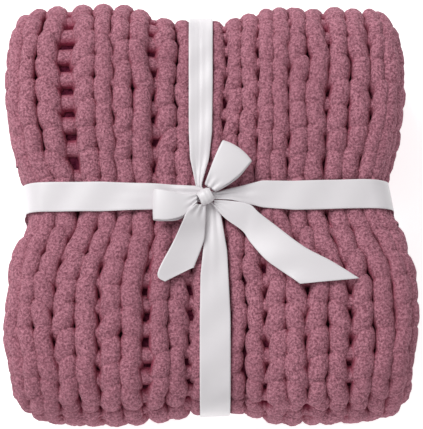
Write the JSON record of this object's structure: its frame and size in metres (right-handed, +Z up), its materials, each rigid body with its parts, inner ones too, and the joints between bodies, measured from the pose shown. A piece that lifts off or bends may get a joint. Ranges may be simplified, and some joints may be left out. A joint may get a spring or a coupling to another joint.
{
  "type": "folded chunky knit blanket",
  "caption": "Chunky chenille knit blanket, folded into a thick square bundle and tied crosswise with a satin ribbon and a bow.",
  "frame": {"origin": "middle of the underside, on the surface that the bundle rests on", "axes": "+Z up out of the top of the bundle; the knit columns run along Y, with the one big fold at -Y and the two small folds at +Y; +X to the right as seen from the big fold"},
  "size_m": [0.3839, 0.3845, 0.1691],
  "materials": {
    "knit": "soft matte dusty rose chenille",
    "ribbon": "white satin"
  },
  "bodies": {
    "root": {"blanket": "knit", "ribbon_long": "ribbon", "ribbon_cross": "ribbon", "ribbon_knot": "ribbon", "bow_loop_left": "ribbon", "bow_loop_right": "ribbon", "bow_tail_left": "ribbon", "bow_tail_right": "ribbon"}
  },
  "joints": []
}
